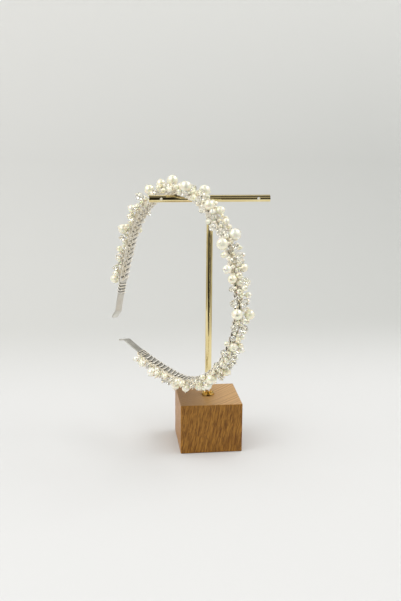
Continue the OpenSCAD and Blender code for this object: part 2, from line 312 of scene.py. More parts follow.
@dataclass(frozen=True)
class PlanedBeech:
    """Steamed beech, sawn, planed and oiled. Its sides show leaning fibres and short ray flecks, its end the rings."""

    light_colour: str = "#A27127"
    dark_colour: str = "#6E4200"
    fleck_colour: str = "#583606"
    # Painted light: the top's colours, paler than the sides for the light from above
    lit_end_colour: str = "#C39A68"
    lit_end_dark_colour: str = "#7E5A2E"
    line_colour: str = "#8F6C3C"
    # Painted light: the left side's colour, paler for the light that falls from the left
    lit_left_colour: str = "#BA8132"
    ring_mm: float = 2.6
    late_wood_mm: float = 1.3
    fibre_mm: float = 0.72
    thread_mm: float = 0.36
    fleck_mm: float = 0.6
    shade_mm: float = 26.0
    relief_mm: float = 0.05
    lean_deg: float = 10.0
    # The fibres waver this often in a metre, and this far to each side
    waver_per_m: float = 140.0
    waver_mm: float = 1.6
    # How wide fibres, rays and rings are for their length
    fibre_run: float = 0.06
    ray_run: float = 0.08
    ring_run: float = 0.04
    # From the middle of the tree to the middle of the block
    heart: Spot = (0.11, -0.12, 0.0)
    roughness: float = 0.36

    def material(self) -> Material:
        """Makes the finish.

        Returns:
            The material.
        """
        made = blank_material("planed_beech")
        tree = made.node_tree
        place = add_node(tree, "TexCoord").outputs["Object"]
        # The board leans in the tree, so its fibres rise to the right, and they waver on the way
        leant = add_node(tree, "Mapping", {"Vector": place, "Rotation": (0.0, math.radians(-self.lean_deg), 0.0)})
        waver = add_node(tree, "TexNoise", {"Vector": leant, "Scale": self.waver_per_m, "Detail": 2.0})
        aside = self.waver_mm * MM
        sway = add_node(tree, "VectorMath", {
            0: waver.outputs["Color"], 1: (aside, aside, 0.0), 2: leant}, operation="MULTIPLY_ADD")
        upright, rays = (
            add_node(tree, "Mapping", {"Vector": sway, "Scale": (1.0, 1.0, run)})
            for run in (self.fibre_run, self.ray_run))
        fibre = add_node(tree, "TexNoise", {
            "Vector": upright, "Scale": 1 / (self.fibre_mm * MM), "Detail": 2.0, "Roughness": 0.55})
        thread = add_node(tree, "TexNoise", {
            "Vector": upright, "Scale": 1 / (self.thread_mm * MM), "Detail": 2.0, "Roughness": 0.6})
        fleck = add_node(tree, "TexNoise", {"Vector": rays, "Scale": 1 / (self.fleck_mm * MM), "Detail": 1.0})
        flecks = add_node(tree, "MapRange", {0: fleck, 1: 0.58, 2: 0.7, 4: 0.55})
        # Growth rings are wide circles round the middle of the tree, behind the block and to its left
        heart = add_node(tree, "Mapping", {"Vector": sway, "Location": self.heart, "Scale": (1.0, 1.0, self.ring_run)})
        reach = add_node(tree, "VectorMath", {0: heart}, operation="LENGTH")
        turns = add_node(tree, "Math", {0: reach, 1: 2 * math.pi / (self.ring_mm * MM)}, operation="MULTIPLY")
        wave = add_node(tree, "Math", {0: turns}, operation="SINE")
        late = add_node(tree, "Math", {0: reach, 1: 1 / (self.late_wood_mm * MM)}, operation="MULTIPLY")
        uneven = add_node(tree, "TexNoise", {"W": late, "Scale": 1.0, "Detail": 3.0}, noise_dimensions="1D")
        # The side of the board, darker to the right where the heartwood begins
        shade = add_node(tree, "TexNoise", {"Vector": sway, "Scale": 1 / (self.shade_mm * MM), "Detail": 1.0})
        broad = add_node(tree, "MapRange", {0: shade, 1: 0.35, 2: 0.65, 3: -0.08, 4: 0.12})
        coarse = add_node(tree, "MapRange", {0: fibre, 1: 0.36, 2: 0.64, 4: 0.95})
        fine = add_node(tree, "MapRange", {0: thread, 1: 0.32, 2: 0.68, 3: -0.2, 4: 0.2})
        ringed = add_node(tree, "Math", {0: wave, 1: 0.07, 2: coarse}, operation="MULTIPLY_ADD")
        streaked = add_node(tree, "Math", {0: ringed, 1: fine}, operation="ADD")
        share = add_node(tree, "Math", {0: streaked, 1: broad}, operation="ADD", use_clamp=True)
        board = add_node(tree, "Mix", {0: share, 6: self.light_colour, 7: self.dark_colour}, data_type="RGBA")
        flecked = add_node(tree, "Mix", {0: flecks, 6: board, 7: self.fleck_colour}, data_type="RGBA")
        # The top is painted paler than the sides, for the light that falls on it from above, and darker to the left;
        # its rings show as thin lines
        end = blended(
            tree, add_node(tree, "SeparateXYZ", {0: place}).outputs["X"], (-0.02, 0.016), self.lit_end_dark_colour,
            self.lit_end_colour, interpolation_type="SMOOTHSTEP")
        rings = add_node(tree, "Math", {0: wave, 1: 0.12, 2: uneven}, operation="MULTIPLY_ADD")
        lined = blended(tree, rings, (0.42, 0.68), end, self.line_colour, 0.7)
        # The left side is painted paler, for the light that falls on it from the left
        facing = add_node(tree, "SeparateXYZ", {0: add_node(tree, "NewGeometry").outputs["Normal"]})
        sides = blended(tree, facing.outputs["X"], (-0.4, -0.8), flecked, self.lit_left_colour, 0.6)
        relief = add_node(tree, "Math", {0: thread, 1: flecks}, operation="SUBTRACT")
        return shaded(made, {
            "Specular IOR Level": 0.35, "IOR": 1.5,
            # The top takes its painted paler colours, the sides the left's painted light
            "Base Color": blended(tree, facing.outputs["Z"], (0.45, 0.85), sides, lined),
            "Roughness": add_node(tree, "MapRange", {
                0: fibre, 1: 0.3, 2: 0.7, 3: self.roughness - 0.06, 4: self.roughness + 0.1}),
            "Normal": add_node(tree, "Bump", {"Strength": 0.35, "Distance": self.relief_mm * MM, "Height": relief})})


@dataclass(frozen=True)
class PlatedSpringSteel:
    """Rolled spring steel with a satin nickel plate. It gives a grey, softly streaked gleam along the strip."""

    colour: str = "#E2E0D8"
    worn_colour: str = "#C8C6BD"
    # Painted shade: the colour the steel darkens to in the gaps between the wire turns
    hollow_shade_colour: str = "#423B2D"
    roughness: float = 0.34
    streak_mm: float = 0.12
    # How wide a rolling streak is for its length
    streak_run: float = 0.03
    patch_per_m: float = 140.0
    hollow_mm: float = 1.3

    def material(self, across: Vector) -> Material:
        """Makes the finish.

        Args:
            across: the direction over the strip's width, which the rolling streaks follow edge to edge.
        Returns:
            The material.
        """
        made = blank_material("plated_spring_steel")
        tree = made.node_tree
        place = add_node(tree, "TexCoord").outputs["Object"]
        width = add_node(tree, "VectorMath", {0: place, 1: tuple(across)}, operation="DOT_PRODUCT")
        length = add_node(tree, "VectorMath", {0: place}, operation="LENGTH")
        slow = add_node(tree, "Math", {0: length, 1: self.streak_run}, operation="MULTIPLY")
        flow = add_node(tree, "CombineXYZ", {0: width, 1: slow})
        streak = add_node(tree, "TexNoise", {"Vector": flow, "Scale": 1 / (self.streak_mm * MM), "Detail": 3.0})
        patch = add_node(tree, "TexNoise", {"Vector": place, "Scale": self.patch_per_m, "Detail": 3.0})
        unshaded = blended(tree, patch, (0.4, 0.75), self.colour, self.worn_colour)
        return shaded(made, {
            "Metallic": 1.0,
            # Painted shade darkens the steel where wires close round it
            "Base Color": paint_hollow_shade(tree, unshaded, self.hollow_shade_colour, self.hollow_mm, (0.5, 0.97)),
            "Roughness": add_node(tree, "MapRange", {
                0: streak, 1: 0.3, 2: 0.7, 3: self.roughness - 0.06, 4: self.roughness + 0.1}),
            "Normal": add_node(tree, "Bump", {"Strength": 0.2, "Distance": 0.01 * MM, "Height": streak})})


@dataclass(frozen=True)
class SilveredWire:
    """Soft craft wire, silver plated and thinly enamelled. It is bright and pale, with a faint warm cast."""

    name: str = "silvered_wire"
    colour: str = "#F8F5EE"
    warm_colour: str = "#F3EAD4"
    # Painted shade: the colour the wire darkens to in the grooves between wires
    hollow_shade_colour: str = "#ACA28B"
    roughness: float = 0.3
    # How much of its shine is bare metal's; the rest is the milky enamel's
    bare: float = 0.42
    hollow_mm: float = 0.8
    patch_mm: float = 3.0

    def material(self) -> Material:
        """Makes the finish.

        Returns:
            The material.
        """
        made = blank_material(self.name)
        tree = made.node_tree
        place = add_node(tree, "TexCoord").outputs["Object"]
        patch = add_node(tree, "TexNoise", {"Vector": place, "Scale": 1 / (self.patch_mm * MM), "Detail": 3.0})
        unshaded = blended(tree, patch, (0.4, 0.7), self.colour, self.warm_colour)
        return shaded(made, {
            "Metallic": self.bare,
            # Painted shade darkens the grooves between the wires
            "Base Color": paint_hollow_shade(tree, unshaded, self.hollow_shade_colour, self.hollow_mm, (0.1, 0.5)),
            "Roughness": add_node(tree, "MapRange", {
                0: patch, 1: 0.3, 2: 0.7, 3: self.roughness - 0.05, 4: self.roughness + 0.08})})


@dataclass(frozen=True)
class LacqueredPearl:
    """Glass bead dipped in ivory pearl lacquer. A soft cream body lies under a clear coat with a nacre shimmer."""

    name: str = "lacquered_pearl"
    colour: str = "#FFFDEE"
    warm_colour: str = "#FBF3D4"
    nacre: float = 0.27
    roughness: float = 0.2
    coat_roughness: float = 0.06
    cloud_mm: float = 2.2
    dimple_mm: float = 0.5
    # How far light goes into the body
    glow_mm: float = 0.9

    def material(self) -> Material:
        """Makes the finish.

        Returns:
            The material.
        """
        made = blank_material(self.name)
        tree = made.node_tree
        place = add_node(tree, "TexCoord").outputs["Object"]
        bead = add_node(tree, "NewGeometry").outputs["Random Per Island"]
        cloud = add_node(tree, "TexNoise", {"Vector": place, "Scale": 1 / (self.cloud_mm * MM), "Detail": 2.0})
        dimple = add_node(tree, "TexNoise", {"Vector": place, "Scale": 1 / (self.dimple_mm * MM), "Detail": 1.0})
        # Each bead has its own warmth, and a slow cloud drifts over it
        mood = add_node(tree, "Math", {0: bead, 1: 0.55, 2: cloud}, operation="MULTIPLY_ADD")
        return shaded(made, {
            "Metallic": self.nacre, "IOR": 1.53, "Specular IOR Level": 0.6, "Subsurface Weight": 0.3,
            "Subsurface Scale": self.glow_mm * MM, "Subsurface Radius": (1.0, 0.72, 0.42), "Coat Weight": 1.0,
            "Coat Roughness": self.coat_roughness, "Coat IOR": 1.7,
            "Base Color": blended(tree, mood, (0.35, 1.15), self.colour, self.warm_colour),
            "Roughness": add_node(tree, "MapRange", {
                0: cloud, 1: 0.3, 2: 0.7, 3: self.roughness - 0.06, 4: self.roughness + 0.08}),
            "Normal": add_node(tree, "Bump", {"Strength": 0.12, "Distance": 0.01 * MM, "Height": dimple})})


@dataclass(frozen=True)
class CutCrystal:
    """Lead crystal, machine cut and polished. Its flat facets throw hard bright and dark spots."""

    name: str = "cut_crystal"
    colour: str = "#FFFFFC"
    warm_colour: str = "#FFFEF4"
    ior: float = 1.6
    roughness: float = 0.006
    clearness: float = 0.86

    def material(self) -> Material:
        """Makes the finish.

        Returns:
            The material.
        """
        made = blank_material(self.name)
        tree = made.node_tree
        bead = add_node(tree, "NewGeometry").outputs["Random Per Island"]
        return shaded(made, {
            "IOR": self.ior, "Transmission Weight": self.clearness, "Roughness": self.roughness,
            "Base Color": add_node(tree, "Mix", {0: bead, 6: self.colour, 7: self.warm_colour}, data_type="RGBA")})


# ---- The headband's own line


@dataclass(frozen=True)
class HeadbandLine:
    """The line that the strip is bent to, and how its plane hangs on the bar. All sizes are in millimetres."""

    crown_r: float = 72.0
    crown_angle: float = 28.5
    shoulder_r: float = 52.0
    shoulder_angle: float = 99.0
    arm_r: float = 300.0
    strip_w: float = 5.0
    strip_t: float = 1.0
    hang_x: float = -20.0
    rest_z: float = 173.624
    plane_turn: float = 57.0
    lean: float = 4.0
    crown_rise: float = 32.5

    @property
    def arcs(self) -> tuple[tuple[float, float, float, np.ndarray], ...]:
        """The three arcs of the upper half: crown, shoulder and arm.

        Returns:
            For each, the station and heading where it starts, its radius and its middle.
        """
        shoulder = self.polar(self.crown_r - self.shoulder_r, self.crown_angle)
        bend = self.crown_angle + self.shoulder_angle
        crown_end = math.radians(self.crown_angle) * self.crown_r
        return (
            (0.0, 0.0, self.crown_r, np.zeros(2)),
            (crown_end, self.crown_angle, self.shoulder_r, shoulder),
            (crown_end + math.radians(self.shoulder_angle) * self.shoulder_r, bend, self.arm_r,
             shoulder + self.polar(self.shoulder_r - self.arm_r, bend)))

    @property
    def hung(self) -> Matrix:
        """The way the band hangs on the bar.

        Returns:
            The move from the band's own frame, in millimetres, to the row's frame, in metres.
        """
        shoulder = self.arcs[1][3]
        return (
            Matrix.Scale(MM, 4)
            @ Matrix.Translation((self.hang_x, 0, self.rest_z))
            @ Matrix.Rotation(math.radians(-self.plane_turn), 4, "Z")
            @ Matrix.Rotation(math.radians(90 - self.lean), 4, "X")
            @ Matrix.Translation((0, -self.shoulder_r, 0))
            @ Matrix.Rotation(math.radians(self.crown_rise), 4, "Z")
            @ Matrix.Translation((-shoulder[0], -shoulder[1], 0))
        )

    @staticmethod
    def polar(r: float, degrees: float) -> np.ndarray:
        """A point of the plane by its distance and direction."""
        return np.array([r * math.cos(math.radians(degrees)), r * math.sin(math.radians(degrees))])

    def place(self, station: float, side: float, lift: float) -> np.ndarray:
        """Finds a point of the band's own frame.

        Args:
            station: the length along the band from the middle of the crown, plus towards the upper arm.
            side: the offset across the strip, plus towards the front.
            lift: the height over the strip's outer face.
        Returns:
            The point, in millimetres.
        """
        along = abs(station)
        start, heading, r, middle = [arc for arc in self.arcs if along >= arc[0]][-1]
        flat = middle + self.polar(r + self.strip_t + lift, heading + math.degrees((along - start) / r))
        return np.array([flat[0], math.copysign(flat[1], station), side])

    def locate(self, point: np.ndarray) -> Spot:
        """Finds where on the band a point is.

        Args:
            point: the point, in the band's own frame.
        Returns:
            Its station, side and lift.
        """
        ends = [arc[1] for arc in self.arcs[1:]] + [360.0]
        for (start, first, r, middle), end in zip(self.arcs, ends):
            x, y = point[0] - middle[0], abs(point[1]) - middle[1]
            heading = math.degrees(math.atan2(y, x)) % 360
            if heading <= end:
                break
        station = start + math.radians(heading - first) * r
        return math.copysign(station, point[1]), float(point[2]), math.hypot(x, y) - r - self.strip_t

    def world(self, points: np.ndarray) -> np.ndarray:
        """Moves points of the band's own frame to the row's frame, in metres."""
        move = np.array(self.hung)
        return points @ move[:3, :3].T + move[:3, 3]

    def turned(self, ways: np.ndarray) -> np.ndarray:
        """Turns directions of the band's own frame to the row's frame."""
        return ways @ np.array(self.hung.to_3x3().normalized()).T

    def local(self, point: Vector) -> np.ndarray:
        """Moves a point of the row's frame to the band's own frame, in millimetres."""
        return np.array(self.hung.inverted() @ point)


@dataclass
class Bead:
    """One bead of the band, in the band's own frame and in millimetres."""

    centre: np.ndarray
    radius: float
    root: np.ndarray
    station: float
    side: float
    big: bool

    @property
    def axis(self) -> np.ndarray:
        """The direction of the stem that goes through the bead."""
        return unit(self.centre - self.root)


@dataclass
class BeadPlan:
    """Where every bead of the source stands, read back from its nodes."""

    line: HeadbandLine
    root_lift: float = 0.5
    root_reach: float = 1.7
    # How many radii a crystal's farthest corner lies from its middle
    girdle_ratio: float = 1.0098
    # Points that lie closer than this are one, in metres
    weld: float = 0.5e-6
    pearls: list[Bead] = field(default_factory=list)
    crystals: list[Bead] = field(default_factory=list)
    seeds: list[Bead] = field(default_factory=list)

    def root(self, station: float, side: float) -> np.ndarray:
        """The point on the strip that the stem of a bead leaves from."""
        reach = max(-self.root_reach, min(self.root_reach, side / 3))
        return self.line.place(station, reach, self.root_lift)

    @staticmethod
    def points(node: str) -> np.ndarray:
        """Reads a node's points.

        Args:
            node: the node's name.
        Returns:
            The points, in metres, one a row.
        """
        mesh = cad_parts[node].data
        made = np.empty(len(mesh.vertices) * 3)
        mesh.vertices.foreach_get("co", made)
        return made.reshape(-1, 3)

    def islands(self, node: str) -> list[np.ndarray]:
        """Splits a node's points by the loose solids that they belong to.

        Args:
            node: the node's name.
        Returns:
            Each solid's points.
        """
        points = self.points(node)
        _, first, same = np.unique(np.round(points / self.weld), axis=0, return_index=True, return_inverse=True)
        same = same.reshape(-1)
        owner = list(range(len(first)))

        def top(i: int) -> int:
            """Finds the leading point of a solid.

            Args:
                i: any point of it.
            Returns:
                The point that stands for the solid.
            """
            while owner[i] != i:
                owner[i] = owner[owner[i]]
                i = owner[i]
            return i

        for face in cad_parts[node].data.polygons:
            corners = [same[i] for i in face.vertices]
            for other in corners[1:]:
                owner[top(other)] = top(corners[0])
        groups: dict[int, list[int]] = {}
        for i in range(len(first)):
            groups.setdefault(top(i), []).append(first[i])
        return [points[members] for members in groups.values()]

    def read(self) -> None:
        """Reads every bead's place and size from the frame."""
        for name in sorted(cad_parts):
            if name.startswith(("pearl_", "crystal_")):
                self.keep(name.startswith("pearl_"), self.points(name), True)
        for node in ("small_pearls", "small_crystals"):
            for points in self.islands(node):
                self.keep(node == "small_pearls", points, False)

    def keep(self, pearl: bool, points: np.ndarray, big: bool) -> None:
        """Adds one bead to its list.

        Args:
            pearl: whether it is a pearl.
            points: its points, in metres.
            big: whether it is a node of its own.
        """
        low, high = points.min(0), points.max(0)
        middle = (low + high) / 2
        radius = max(high - low) / 2 if pearl else max(np.linalg.norm(points - middle, axis=1)) / self.girdle_ratio
        centre = self.line.local(Vector(middle))
        station, side, _ = self.line.locate(centre)
        (self.pearls if pearl else self.crystals).append(
            Bead(centre, radius / MM, self.root(station, side), station, side, big))


# ---- Pieces


@dataclass
class Stand:
    """The T-bar stand: beech block, brass post, cross bar and cup washer, all carried over from the solids."""

    beech: PlanedBeech = PlanedBeech()
    brass: BuffedBrass = BuffedBrass()
    turned_brass: BuffedBrass = BuffedBrass("turned_brass", "#D8B568", "#B68A3C", 0.1)

    def dress(self) -> None:
        """Gives each part of the stand its finish."""
        upright, level = self.brass.material(Axis.Z), self.brass.material(Axis.X)
        turned = self.turned_brass.material(Axis.Z)
        finishes = {
            "wood_block": self.beech.material(), "post": upright, "cup_washer": turned, "cross_bar": level}
        for node, finish in finishes.items():
            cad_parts[node].data.materials[0] = finish
            LOG.info("dressed %s", node)


@dataclass
class Strip:
    """The bent steel strip, carried over from its solid."""

    line: HeadbandLine
    steel: PlatedSpringSteel = PlatedSpringSteel()

    def dress(self) -> None:
        """Gives the strip its finish."""
        across = (self.line.hung.to_3x3() @ Vector((0, 0, 1))).normalized()
        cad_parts["strip"].data.materials[0] = self.steel.material(across)
        LOG.info("dressed strip")


@dataclass
class Pearls:
    """The round pearls, carried over from their solids."""

    finish: LacqueredPearl = LacqueredPearl()

    def dress(self) -> None:
        """Gives every pearl its finish."""
        finish = self.finish.material()
        for name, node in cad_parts.items():
            if name.startswith("pearl_") or name == "small_pearls":
                node.data.materials[0] = finish
        LOG.info("dressed the pearls")


@dataclass
class Crystals:
    """The cut crystals: rondelles with star, bezel and girdle facets and a drilled hole."""

    plan: BeadPlan
    finish: CutCrystal = CutCrystal()
    sides: int = 8
    # Heights and widths of the rings, as shares of the bead's radius
    half_height: float = 0.82
    table: float = 0.52
    middle: float = 0.82
    middle_height: float = 0.5
    girdle: float = 0.12
    hole_r_mm: float = 0.45

    def rings(self, r: float) -> list[np.ndarray]:
        """Makes the rings of corners from one end of the hole to the other.

        Args:
            r: the bead's radius, in millimetres.
        Returns:
            The rings, each with its points one a row.
        """
        count = self.sides
        step = 2 * math.pi / count

        def ring(radius: float, z: float, number: int, offset: float) -> np.ndarray:
            """One ring of evenly spaced corners."""
            turn = (np.arange(number) * (count / number) + offset) * step
            return np.stack([radius * np.cos(turn), radius * np.sin(turn), np.full(number, z)], axis=1)

        top = self.half_height * r
        upper = [
            ring(self.hole_r_mm, top, count, 0), ring(self.table * r, top, count, 0),
            ring(self.middle * r, self.middle_height * r, count, 0.5), ring(r, self.girdle * r, 2 * count, 0)]
        lower = [row * np.array([1, 1, -1]) for row in reversed(upper)]
        return upper + lower

    def faces(self) -> list[tuple[int, ...]]:
        """Makes the facets between the rings.

        Returns:
            Each facet's corner numbers.
        """
        n = self.sides

        def end(k: int, hole: int, table: int, mid: int, girdle: int) -> list[tuple[int, ...]]:
            """Makes one side's facets of one end.

            Args:
                k: the side's number.
                hole: the first corner of the ring round the hole, as for the other rings.
                table: that of the flat top.
                mid: that of the ring between top and girdle.
                girdle: that of the widest ring.
            Returns:
                The facets.
            """
            after, before = (k + 1) % n, (k - 1) % n
            here, half, there = girdle + 2 * k, girdle + 2 * k + 1, girdle + (2 * k + 2) % (2 * n)
            return [
                (hole + k, table + k, table + after, hole + after), (table + k, mid + k, table + after),
                (table + k, mid + before, here, mid + k), (mid + k, here, half), (mid + k, half, there)]

        upper, lower = (0, n, 2 * n, 3 * n), (9 * n, 8 * n, 7 * n, 5 * n)
        made: list[tuple[int, ...]] = []
        for k in range(n):
            made += end(k, *upper)
            for i in (2 * k, 2 * k + 1):
                high, low, after = upper[3] + i, lower[3] + i, (i + 1) % (2 * n)
                made.append((high, low, lower[3] + after, upper[3] + after))
            made += [tuple(reversed(face)) for face in end(k, *lower)]
            after = (k + 1) % n
            made.append((after, lower[0] + after, lower[0] + k, k))
        return made

    def cut(self, draft: Draft, bead: Bead) -> None:
        """Cuts one crystal.

        Args:
            draft: the draft that takes it.
            bead: its place and size.
        """
        turn = Vector(bead.axis).to_track_quat("Z", "Y").to_matrix()
        points = np.concatenate(self.rings(bead.radius)) @ np.array(turn).T + bead.centre
        draft.add(self.plan.line.world(points), self.faces(), smooth=False)

    def build(self) -> None:
        """Cuts every crystal, each big one as a piece of its own."""
        finish = self.finish.material()
        big = [bead for bead in self.plan.crystals if bead.big]
        for number, bead in enumerate(big, start=1):
            draft = Draft()
            self.cut(draft, bead)
            piece = draft.build(f"cut_crystal_{number:02d}", finish)
            self.stand_in(piece, f"crystal_{number:02d}")
        field_draft = Draft()
        for bead in self.plan.crystals:
            if not bead.big:
                self.cut(field_draft, bead)
        self.stand_in(field_draft.build("cut_small_crystals", finish), "small_crystals")

    @staticmethod
    def stand_in(piece: Object, node: str) -> None:
        """Puts a piece in a node's stead.

        Args:
            piece: the cut crystal or crystals.
            node: the node that it takes the place of.
        """
        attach(piece, "root")
        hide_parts(node)
        LOG.info("cut %s with %d faces", piece.name, len(piece.data.polygons))


@dataclass
class SeedPearls:
    """The seed pearls of 1.8 to 2.7 mm that fill the field between the larger beads."""

    plan: BeadPlan
    finish: LacqueredPearl = LacqueredPearl(name="lacquered_seed_pearl", cloud_mm=1.2)
    step: float = 0.24
    clearance: float = 0.1
    radii: Span = (0.9, 1.35)
    lifts: Span = (1.7, 5.2)
    # From station, to station, least side and most side of each stretch of the field
    stretches: tuple[tuple[float, float, float, float], ...] = (
        (-164.0, -104.0, -2.4, 6.0), (-104.0, -48.0, -5.5, 5.0), (-48.0, 85.0, -5.5, 5.5),
        (85.0, 124.0, -4.5, 5.5), (124.0, 163.0, -2.2, 6.0))

    def scatter(self) -> None:
        """Finds free places for the seed pearls, the same ones each time."""
        chance = random.Random(7)
        taken = [(bead.centre, bead.radius) for bead in self.plan.pearls + self.plan.crystals]
        for start, end, least, most in self.stretches:
            station = start
            while station < end:
                station += self.step
                side, r = chance.uniform(least, most), chance.uniform(*self.radii)
                spot = self.plan.line.place(station, side, chance.uniform(*self.lifts))
                if all(np.linalg.norm(spot - centre) > r + other + self.clearance for centre, other in taken):
                    taken.append((spot, r))
                    self.plan.seeds.append(Bead(spot, r, self.plan.root(station, side), station, side, False))

    def build(self) -> None:
        """Makes the seed pearls as one piece."""
        self.scatter()
        ball = bpy.data.meshes.new("seed_ball")
        shape = bmesh.new()
        bmesh.ops.create_icosphere(shape, subdivisions=3, radius=1.0)
        shape.to_mesh(ball)
        shape.free()
        points = np.array([v.co for v in ball.vertices])
        faces = [tuple(face.vertices) for face in ball.polygons]
        bpy.data.meshes.remove(ball)
        draft = Draft()
        for bead in self.plan.seeds:
            draft.add(self.plan.line.world(points * bead.radius + bead.centre), faces)
        piece = draft.build("seed_pearls", self.finish.material())
        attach(piece, "root")
        LOG.info("made %d seed pearls with %d faces", len(self.plan.seeds), len(piece.data.polygons))


@dataclass(frozen=True)
class Winding:
    """One stretch of wound wire: how many wires lie side by side, and how each turn runs."""

    start: float
    end: float
    wires: int
    pitch: float
    # How far a turn runs on along the strip while it crosses the inner face
    slant: float
    # How much higher than the outer wires of a bundle the middle one rides
    bulge: float = 0.2
    stray: float = 0.12
    wire_r: float = 0.24


@dataclass
class WireWork:
    """The wound wire, the running strands and the twisted stems, which take the place of the plain sleeve."""

    plan: BeadPlan
    silver: SilveredWire = SilveredWire()
    # Its third colour is the painted shade in the grooves of the champagne wire
    champagne: SilveredWire = SilveredWire("champagne_wire", "#FFFAEC", "#F8EED6", "#AFA27E", 0.26, 0.45, 0.5)
    # How far apart neighbouring wires of a bundle lie, in wire radii
    nesting: float = 1.8
    wire_gap: float = 0.06
    # How much of its slant a turn has on the outer face, where it leans the other way
    outer_slant: float = -0.35
    # Hand winding varies by these shares of a turn's length and slant, and by this height
    pitch_play: Span = (0.88, 1.12)
    slant_play: Span = (0.75, 1.25)
    lift_play: float = 0.08
    windings: tuple[Winding, ...] = (
        Winding(-165.5, -157.0, 1, 1.9, 2.6, 0.0, 0.05, 0.29), Winding(-157.0, -96.0, 2, 3.9, 3.7, 0.0, 0.2, 0.26),
        Winding(-99.4, -20.0, 2, 3.4, 3.0, 0.1, 0.1),
        Winding(-23.9, 161.0, 6, 3.9, 4.2, 0.4, 0.04, 0.27), Winding(162.2, 171.6, 1, 2.1, 0.6, 0.0, 0.04, 0.4))
    strands: int = 7
    strand_spread: float = 4.4
    # A strand sways in three waves, each with its turn in a millimetre, its phase and its share of the sway
    strand_sway: float = 2.2
    strand_waves: tuple[Span, ...] = ((0.05, 0.16), (0.0, 6.28), (0.25, 0.5))
    # How high it rides, and how far it rises and falls
    strand_ride: Span = (1.0, 0.35)
    # From station, to station and step of each strand
    strand_run: tuple[float, float, float] = (-163.0, 160.0, 0.9)
    # The crown passes into an arm between these stations, and there a stem's sizes go from the first to the second
    arm_from: Span = (45.0, 78.0)
    stem_r: Span = (0.14, 0.26)
    stem_lean: Span = (2.4, 6.8)
    twist_pitch: Span = (1.5, 4.2)
    lean_play: Span = (0.75, 1.05)
    stem_step: float = 0.34
    past_bead: float = 0.3
    # How far a stem runs straight out of the strip and straight into the bead, as shares of its reach
    straight: Span = (0.2, 0.35)
    # How far its wires lie from its middle, in wire radii, and how much less in the bead's hole
    swing: float = 1.05
    pinch: float = 0.25
    # The way of its first wire, across any stem's start
    first_side: Spot = (0.3, 0.93, 0.2)
    # Stems leave the strip between these stations, and beads beyond this side hang from the back edge
    feet: Span = (-165.0, 161.0)
    back_side: float = -2.0
    edge_side: float = 3.0
    edge_lift: float = -0.4
    # A stem's tail on the upper arm, back from its foot: station, side and lift of each point
    tail: tuple[Spot, ...] = (
        (5.6, 0.5, -1.9), (4.8, 0.9, -2.45), (1.0, 2.7, -2.45), (0.4, 3.4, -1.3))
    tail_step: float = 3.9
    # Tails belong to beads past the first of these stations, and lie before the second
    tailed: Span = (66.0, 154.0)
    berths: set[int] = field(default_factory=set)

    def turn(
            self, start: float, pitch: float, slant: float, lift: float, r: float) -> tuple[np.ndarray, np.ndarray]:
        """Makes one turn of wire round the strip, from the outer face's front corner to its middle.

        Args:
            start: the station where the turn starts.
            pitch: how far along the strip the turn ends.
            slant: how far it runs on along the strip while it crosses the inner face.
            lift: how far the wire rides over the first layer.
            r: the wire's radius.
        Returns:
            The turn's points and the directions out of the strip, in the band's own frame.
        """
        line = self.plan.line
        half_w, half_t = line.strip_w / 2 + self.wire_gap + lift, line.strip_t / 2 + self.wire_gap + lift
        bends = [(math.cos(a), math.sin(a)) for a in np.radians((90, 60, 30, 0))]
        spots: list[tuple[float, float, float, float]] = []  # side, height over the middle, and the way out
        for sx, sy in ((1, 1), (1, -1), (-1, -1), (-1, 1)):
            for cx, cy in bends if sx == sy else reversed(bends):
                spots.append((sx * (half_w + r * cx), sy * (half_t + r * cy), sx * cx, sy * cy))
            if sy < 0 < sx:
                spots += [(half_w * k, -half_t - r, 0.0, -1.0) for k in (0.5, 0.0, -0.5)]
        spots.append((0.0, half_t + r, 0.0, 1.0))
        points, outs = [], []
        for number, (side, height, out_side, out_up) in enumerate(spots):
            share = 0.5 - side / (2 * half_w)
            shift = pitch * (number / len(spots)) + (
                -slant * (share - 0.5) * (1 if height < 0 else self.outer_slant))
            flat = line.place(start + shift, side, height - line.strip_t / 2)
            up = line.place(start + shift, side, height - line.strip_t / 2 + 1.0) - flat
            points.append(flat)
            outs.append(up * out_up + np.array([0, 0, out_side]))
        return np.array(points), np.array(outs)

    def wind(self, draft: Draft, winding: Winding) -> None:
        """Winds one stretch of the strip by hand: each turn is a rounded bundle, and no two lie quite alike.

        Args:
            draft: the draft that takes the wires.
            winding: the stretch.
        """
        line, chance = self.plan.line, random.Random(int(winding.end))
        starts = [winding.start]
        while starts[-1] + winding.pitch < winding.end:
            starts.append(starts[-1] + winding.pitch * chance.uniform(*self.pitch_play))
        slants = [winding.slant * chance.uniform(*self.slant_play) for _ in starts]
        for wire in range(winding.wires):
            across = 2 * wire / max(1, winding.wires - 1) - 1
            lift = winding.bulge * (1 - across * across)
            path, outs = [], []
            for start, after, slant in zip(starts, starts[1:], slants):
                begin = start + wire * self.nesting * winding.wire_r + chance.uniform(-1, 1) * winding.stray
                ride = lift + chance.uniform(0, self.lift_play)
                points, out = self.turn(begin, after - start, slant, ride, winding.wire_r)
                path.append(points)
                outs.append(out)
            draft.tube(line.world(np.concatenate(path)), line.turned(np.concatenate(outs)), winding.wire_r * MM, 6)

